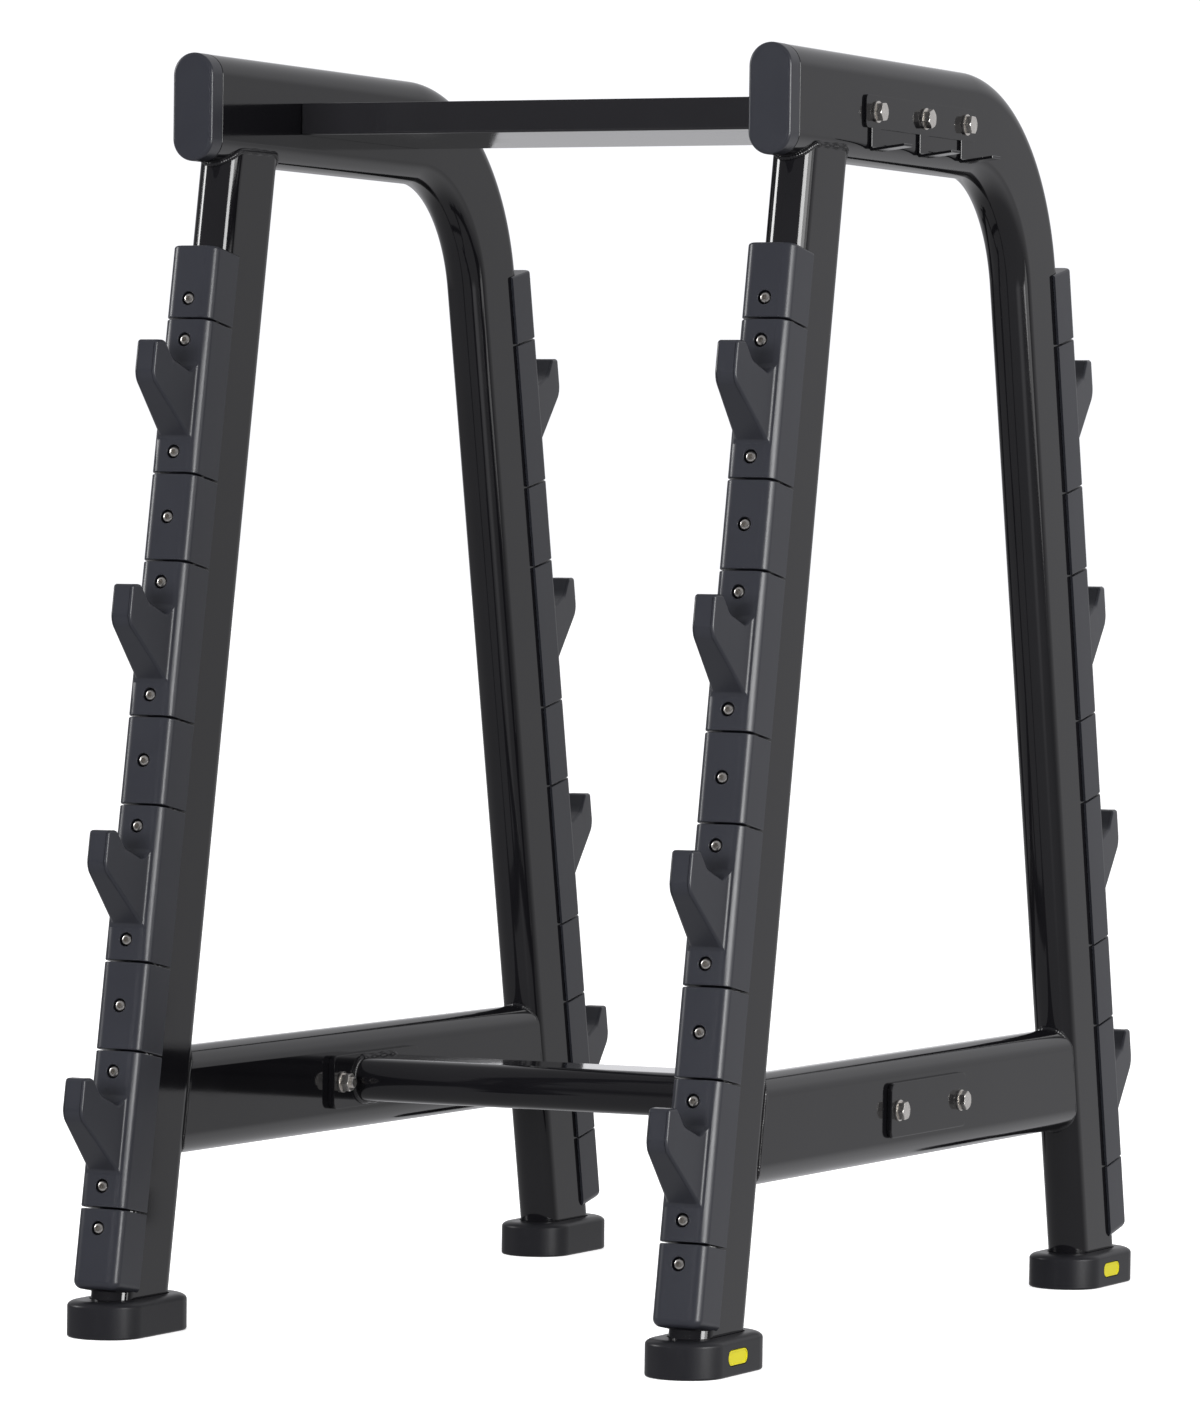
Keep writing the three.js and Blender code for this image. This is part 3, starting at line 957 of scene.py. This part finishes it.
def recessCutter(height):
    # the screw's recess, with a small chamfer at its mouth
    radius, chamfer = recess["radius"], recess["chamfer"]
    floor = -cover["face"] + recess["depth"]
    mouth = -cover["face"]
    piece = rod("recess", radius, (0, floor, height), (0, mouth + chamfer, height), recess["sides"])
    startEdit(piece)
    pick(piece, "FACE", lambda face: face.normal.y < -facing)
    extrude(0, -chamfer, 0)
    wider = (radius + chamfer) / radius
    bpy.ops.transform.resize(value=(wider, 1, wider), center_override=(0, mouth, height))
    extrude(0, -recess["depth"], 0)
    endEdit()
    return piece


def cutLegAndScrews(piece, length, screws):
    # the cutter for the leg runs past both ends
    leg = tubeOval("leg cutter", cover["gap"])
    place(leg, (0, 0, -cover["blockLength"]))
    combine(piece, slab(leg, length + 2 * cover["blockLength"]), "DIFFERENCE")
    for height in screws:
        combine(piece, recessCutter(height), "DIFFERENCE")
    return piece


def plainCover(name, length, screw, lowerRound, upperRound):
    piece = coverBody(name, [length])
    roundRim(piece, 0, lowerRound, steps=6)
    roundRim(piece, length, upperRound, steps=4)
    endEdit()
    return cutLegAndScrews(piece, length, [screw])


def growArm(piece, middle):
    # pulls the hook arm out of the block's face and the facets beside it, one station at a time
    bottom = middle - arm["rootFoot"]
    top = middle + arm["rootTop"]
    pick(
        piece,
        "FACE",
        lambda face: face.normal.y < -facing and bottom < face.calc_center_median().z < top,
    )
    slope = (arm["tipFoot"] + arm["rootFoot"]) / arm["reach"]
    reachBefore, halfBefore, widthBefore = 0, (top - bottom) / 2, arm["rootWidth"]
    centreBefore = (top + bottom) / 2
    for reach, height in arm["stations"]:
        foot = bottom + slope * reach
        centre = (middle + height + foot) / 2
        half = (middle + height - foot) / 2
        width = arm["rootWidth"] + (arm["tipWidth"] - arm["rootWidth"]) * reach / arm["reach"]
        extrude(0, reachBefore - reach, centre - centreBefore)
        factors = (width / widthBefore, 0, half / halfBefore)
        bpy.ops.transform.resize(value=factors, center_override=(0, -cover["face"] - reach, centre))
        reachBefore, halfBefore, widthBefore, centreBefore = reach, half, width, centre


def roundArm(piece, middle):
    # soft knees first, then all long edges and the fillet where the arm leaves the block
    knees = (
        (arm["stations"][0], arm["kneeRounds"][0]),
        (arm["stations"][1], arm["kneeRounds"][1]),
        ((arm["reach"], arm["tipFoot"]), arm["kneeRounds"][2]),
    )
    for (reach, height), width in knees:
        atReach = inPlane("y", -cover["face"] - reach)
        atHeight = inPlane("z", middle + height)
        bevelEdges(piece, width, lambda edge: atReach(edge) and atHeight(edge), steps=4)
    low = middle - arm["rootFoot"] - arm["edgeZone"]
    high = middle + arm["stations"][2][1] + arm["edgeZone"]
    front = -cover["face"] + arm["edgeZone"]
    bevelEdges(
        piece,
        arm["edge"],
        lambda edge: faceAngle(edge) > arm["edgeAngle"]
        and bothEnds(edge, lambda co: co.y < front and low < co.z < high),
        steps=3,
    )


blockMiddle = cover["blockLength"] / 2
hookScrews = [blockMiddle - cover["hookScrew"], blockMiddle + cover["hookScrew"]]
bottomScrew = cover["bottomLength"] - cover["endScrew"]
spacerScrew = cover["spacerLength"] / 2


def hookBlock():
    length = cover["blockLength"]
    middle = blockMiddle
    steps = (middle - arm["rootFoot"], arm["rootFoot"] + arm["rootTop"], middle - arm["rootTop"])
    piece = coverBody("hook block", steps)
    growArm(piece, middle)
    roundArm(piece, middle)
    roundRim(piece, 0, cover["rim"], steps=2)
    roundRim(piece, length, cover["rim"], steps=2)
    endEdit()
    return cutLegAndScrews(piece, length, hookScrews)


screw = {
    "radius": 0.0066,
    "sides": 36,
    "sunk": 0.0006,
    "edge": 0.0036,
    "socket": 0.0054,
    "socketDepth": 0.0065,
    "turn": 7,  # radians from one metre up the leg to the next, so that the sockets stand unlike
}


def capScrew():
    # a socket-head screw that stands on the recess floor
    floor = -cover["face"] + recess["depth"]
    top = -cover["face"] + screw["sunk"]
    piece = rod("screw", screw["radius"], (0, floor, 0), (0, top, 0), screw["sides"])
    startEdit(piece)
    bevelEdges(piece, screw["edge"], inPlane("y", top), steps=6)
    endEdit()
    depth = screw["socketDepth"]
    socket = rod("socket", hexRadius(screw["socket"]), (0, top + depth, 0), (0, top - depth, 0), hexSides)
    return combine(piece, socket, "DIFFERENCE")


def legFrame(footY, lean, turn):
    return (
        Matrix.Translation((sideX, footY, 0))
        @ Matrix.Rotation(turn, 4, "Z")
        @ Matrix.Rotation(-lean, 4, "X")
    )


hook = hookBlock()
print("hook block modelled")
spacer = plainCover("spacer", cover["spacerLength"], spacerScrew, cover["rim"], cover["rim"])
bottomCover = plainCover("bottom", cover["bottomLength"], bottomScrew, cover["bottomRound"], cover["rim"])
topCover = plainCover("top", cover["topLength"], cover["endScrew"], cover["rim"], cover["topRound"])
capScrewTemplate = capScrew()

# what is stacked up each leg: node, template, length and the heights of its screws
stack = [("cover_bottom", bottomCover, cover["bottomLength"], [bottomScrew])]
for number in (4, 3, 2, 1):
    stack.append(("hook_" + str(number), hook, cover["blockLength"], hookScrews))
    if number > 1:
        stack.append(("cover_" + str(number - 1), spacer, cover["spacerLength"], [spacerScrew]))
stack.append(("cover_top", topCover, cover["topLength"], [cover["endScrew"]]))


def dressLeg(leg, footY, lean, turn, raised):
    where = legFrame(footY, lean, turn)
    height = cover["stackFoot"] + raised
    for name, template, length, screws in stack:
        spot = where @ Matrix.Translation((0, 0, height))
        piece = copyPiece(template, "cover", spot)
        finishPair(piece, leg + "_" + name + "_moulding", plastic, [leg + "_" + name])
        for i, screwHeight in enumerate(screws):
            turned = spot @ Matrix.Translation((0, 0, screwHeight))
            turned = turned @ Matrix.Rotation(height * screw["turn"] + i, 4, "Y")
            piece = copyPiece(capScrewTemplate, "screw", turned)
            finishPair(piece, leg + "_" + name + "_screw_" + str(i + 1), steel)
        height += length + cover["seam"]


dressLeg("front", frontFootY, rack["frontLean"], turn=0, raised=0)
dressLeg("rear", rearFootY, rack["rearLean"], turn=math.pi, raised=cover["rearRaise"])
for template in (hook, spacer, bottomCover, topCover, capScrewTemplate):
    bpy.data.objects.remove(template)
print("covers, hooks and screws made")


# Feet
foot = {
    "base": 0.0025,
    "crown": 0.0068,
    "slope": 0.0125,
    "crownSteps": 9,
    "gap": 0.0016,
    "pocketFloor": 0.008,
}
insert = {
    "length": 0.050,
    "height": 0.018,
    "depth": 0.0035,
    "centre": 0.020,
    "shift": 0.008,
    "gap": 0.0010,
    "rim": 0.0026,
    "sunk": 0.0008,
    "edge": 0.0003,
}


def footBody(name, size, middle):
    # a flat oval whose top is rounded by insets that follow a quarter of an ellipse
    piece = place(ovalFace(name, size.x, size.y), (sideX, middle.y, 0))
    shoulder = size.z - foot["crown"]
    startEdit(piece)
    bpy.ops.mesh.select_all(action="SELECT")
    extrude(0, 0, shoulder)
    bevelEdges(piece, foot["base"], inPlane("z", 0), steps=3)
    pick(
        piece,
        "FACE",
        lambda face: face.normal.z > facing and face.calc_center_median().z > shoulder - tolerance,
    )
    for i in range(foot["crownSteps"]):
        low = math.pi / 2 * i / foot["crownSteps"]
        high = math.pi / 2 * (i + 1) / foot["crownSteps"]
        inwards = foot["slope"] * (math.cos(low) - math.cos(high))
        upwards = foot["crown"] * (math.sin(high) - math.sin(low))
        bpy.ops.mesh.inset(thickness=inwards, depth=upwards)
    endEdit()
    return piece


def insertBlock(name, spot, thickness, grow):
    block = slab(ovalFace(name, insert["height"], insert["length"], grow), thickness)
    return place(block, spot, (0, math.pi / 2, 0))


def footPiece(leg, up, footY):
    low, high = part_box("right_" + leg + "_foot")
    middle = (low + high) / 2
    size = high - low
    piece = footBody(leg + " foot", size, middle)
    pocket = tubeOval("pocket", foot["gap"])
    turn = math.atan2(-up.y, up.z)
    base = Vector((sideX, footY, 0)) + up * foot["pocketFloor"] / up.z
    place(pocket, base, (turn, 0, 0))
    startEdit(pocket)
    bpy.ops.mesh.select_all(action="SELECT")
    extrude(*(up * tubeDepth))
    endEdit()
    combine(piece, pocket, "DIFFERENCE")
    spot = Vector((high.x - insert["depth"], middle.y - insert["shift"], insert["centre"]))
    combine(piece, insertBlock("seat", spot, 2 * insert["depth"], 0), "DIFFERENCE")
    finishPair(piece, leg + "_foot_rubber", rubber, [leg + "_foot"])

    # the insert's field is sunk, which leaves a raised rim round it
    badge = insertBlock("insert", spot, insert["depth"], -insert["gap"])
    sunk = Vector((insert["depth"] - insert["sunk"], 0, 0))
    field = insertBlock("field", spot + sunk, insert["depth"], -insert["rim"])
    combine(badge, field, "DIFFERENCE")
    bevelSharp(badge, insert["edge"], steps=2)
    finishPair(badge, leg + "_foot_insert", yellow)


footPiece("front", upFront, frontFootY)
footPiece("rear", upRear, rearFootY)
print("feet made")


# Studio: a pale floor, soft boxes, and a surround that is white behind the rack and darker elsewhere
floorLook = {
    "size": 160,
    "sunk": 0.0002,
    "colour": (0.86, 0.86, 0.86),
    "lighter": 1.02,
    "mottle": (1.5, 3.0),
    "roughness": 0.9,
    "ior": 1.2,
    "glow": 0.60,
}
# Brightness of the surround; its ranges say at what height or in what direction each part comes in
surround = {
    "tint": (0.99, 0.99, 1.02),
    "frontLow": 0.07,
    "front": 0.225,
    "frontRange": (0.05, 0.30),
    "back": 0.36,
    "backRange": (0.30, 0.80),
    "top": 0.04,
    "topRange": (0.2, 0.9),
    "backRise": 0.05,
    "riseRange": (-0.08, 0.06),
    "below": 0.34,
    "belowRange": (0.0, 0.3),
    "glow": 1.0,
    "glowAngle": 57,
    "glowSpread": (0.93, 0.99),
    "glowRange": (0.01, 0.04),
    "backdropLow": 0.52,
    "backdrop": 1.05,
    "horizon": (-0.034, -0.022),
    "backdropSpread": (0.962, 0.984),
}
boxDistance = 8.0
softBoxes = {
    "right box": {"angle": 77, "low": 0.05, "high": 3.6, "spread": 18, "radiance": 14},
    "right edge": {"angle": 94, "low": 0.05, "high": 3.6, "spread": 15, "radiance": 5},
    "right haze": {"angle": 110, "low": 0.05, "high": 3.6, "spread": 17, "radiance": 1.5},
    "left strip": {"angle": -72, "low": 1.9, "high": 4.6, "spread": 13, "radiance": 14},
    "front fill": {"angle": 0, "low": 0.5, "high": 2.3, "spread": 36, "radiance": 30, "mirrored": False},
}
overhead = {"strength": 1.2, "angle": 100}


def addFloor():
    # the rack sees the surround below it instead of the floor, which would be too bright
    bpy.ops.mesh.primitive_plane_add(size=floorLook["size"], location=(0, 0, -floorLook["sunk"]))
    floor = bpy.context.object
    floor.name = "floor"
    floor.visible_glossy = False
    floor.visible_diffuse = False
    material, tree, shader, coords = startMaterial("pale floor")
    mottle = noise(coords, *floorLook["mottle"])
    tone = floorLook["colour"]
    lighter = tuple(value * floorLook["lighter"] for value in tone)
    values = {
        "Roughness": floorLook["roughness"],
        "IOR": floorLook["ior"],
        "Emission Color": (1, 1, 1, 1),
        "Emission Strength": floorLook["glow"],
    }
    connect(tree, shader, {"Base Color": mixColours(mottle, tone, lighter)}, values)
    floor.data.materials.append(material)


def wayFromFront(angle):
    # a level direction, turned from straight in front of the rack towards its right, seen from above
    return math.sin(math.radians(angle)), -math.cos(math.radians(angle)), 0


def alongWay(direction, way):
    # 1 where a direction points a given way, and less to the sides
    settings = {"operation": "DOT_PRODUCT"}
    return direction.node("ShaderNodeVectorMath", settings, {0: direction, 1: way}, "Value")


def addSurround():
    world = bpy.data.worlds.new("studio")
    bpy.context.scene.world = world
    world.use_nodes = True
    tree = world.node_tree
    look = surround
    direction = Socket(tree).node("ShaderNodeTexCoord", {}, {}, output="Generated")
    y = direction.node("ShaderNodeSeparateXYZ", {}, {"Vector": direction}, output="Y")
    z = direction.node("ShaderNodeSeparateXYZ", {}, {"Vector": direction}, output="Z")
    down = 0.0 - z

    # the room: dark low in front, lighter above, behind and below, with a glow low down in front
    behind = y.within(*look["backRange"])
    room = look["frontLow"] + (look["front"] - look["frontLow"]) * z.within(*look["frontRange"])
    room = room + look["back"] * behind + look["top"] * z.within(*look["topRange"])
    room = room + look["backRise"] * behind * z.within(*look["riseRange"])
    room = room + (look["below"] - look["frontLow"]) * down.within(*look["belowRange"])
    nearBox = alongWay(direction, wayFromFront(look["glowAngle"])).within(*look["glowSpread"])
    room = room + look["glow"] * nearBox * down.within(*look["glowRange"])

    # the white backdrop straight behind the rack, seen from the camera's place
    ahead = alongWay(direction, (-math.sin(view["yaw"]), math.cos(view["yaw"]), 0))
    above = z.within(*look["horizon"])
    backdrop = look["backdropLow"] + (look["backdrop"] - look["backdropLow"]) * above
    mask = ahead.within(*look["backdropSpread"])
    strength = mask * backdrop + (1.0 - mask) * room
    background = tree.nodes["Background"]
    tree.links.new(strength.link, background.inputs["Strength"])
    background.inputs["Color"].default_value = (*look["tint"], 1)


def addSoftBox(name, angle, low, high, spread, radiance, mirrored=True):
    # angle and spread are in degrees as seen from the rack, low and high in metres
    x, y = wayFromFront(angle)[:2]
    width = boxDistance * math.radians(spread)
    height = high - low
    light = bpy.data.lights.new(name, "AREA")
    light.shape = "RECTANGLE"
    light.size = width
    light.size_y = height
    light.energy = radiance * width * height * math.pi
    box = bpy.data.objects.new(name, light)
    bpy.context.scene.collection.objects.link(box)
    box.location = (boxDistance * x, boxDistance * y, (low + high) / 2)
    box.rotation_euler = (math.pi / 2, 0, math.radians(angle))
    box.visible_camera = False
    box.visible_glossy = mirrored


def addOverhead():
    # light from straight above, which isn't mirrored
    light = bpy.data.lights.new("overhead", "SUN")
    light.energy = overhead["strength"]
    light.angle = math.radians(overhead["angle"])
    lamp = bpy.data.objects.new("overhead", light)
    bpy.context.scene.collection.objects.link(lamp)
    lamp.visible_glossy = False


addFloor()
addSurround()
for name, look in softBoxes.items():
    addSoftBox(name, **look)
addOverhead()
bpy.context.scene.view_settings.view_transform = "Standard"
print("studio set")
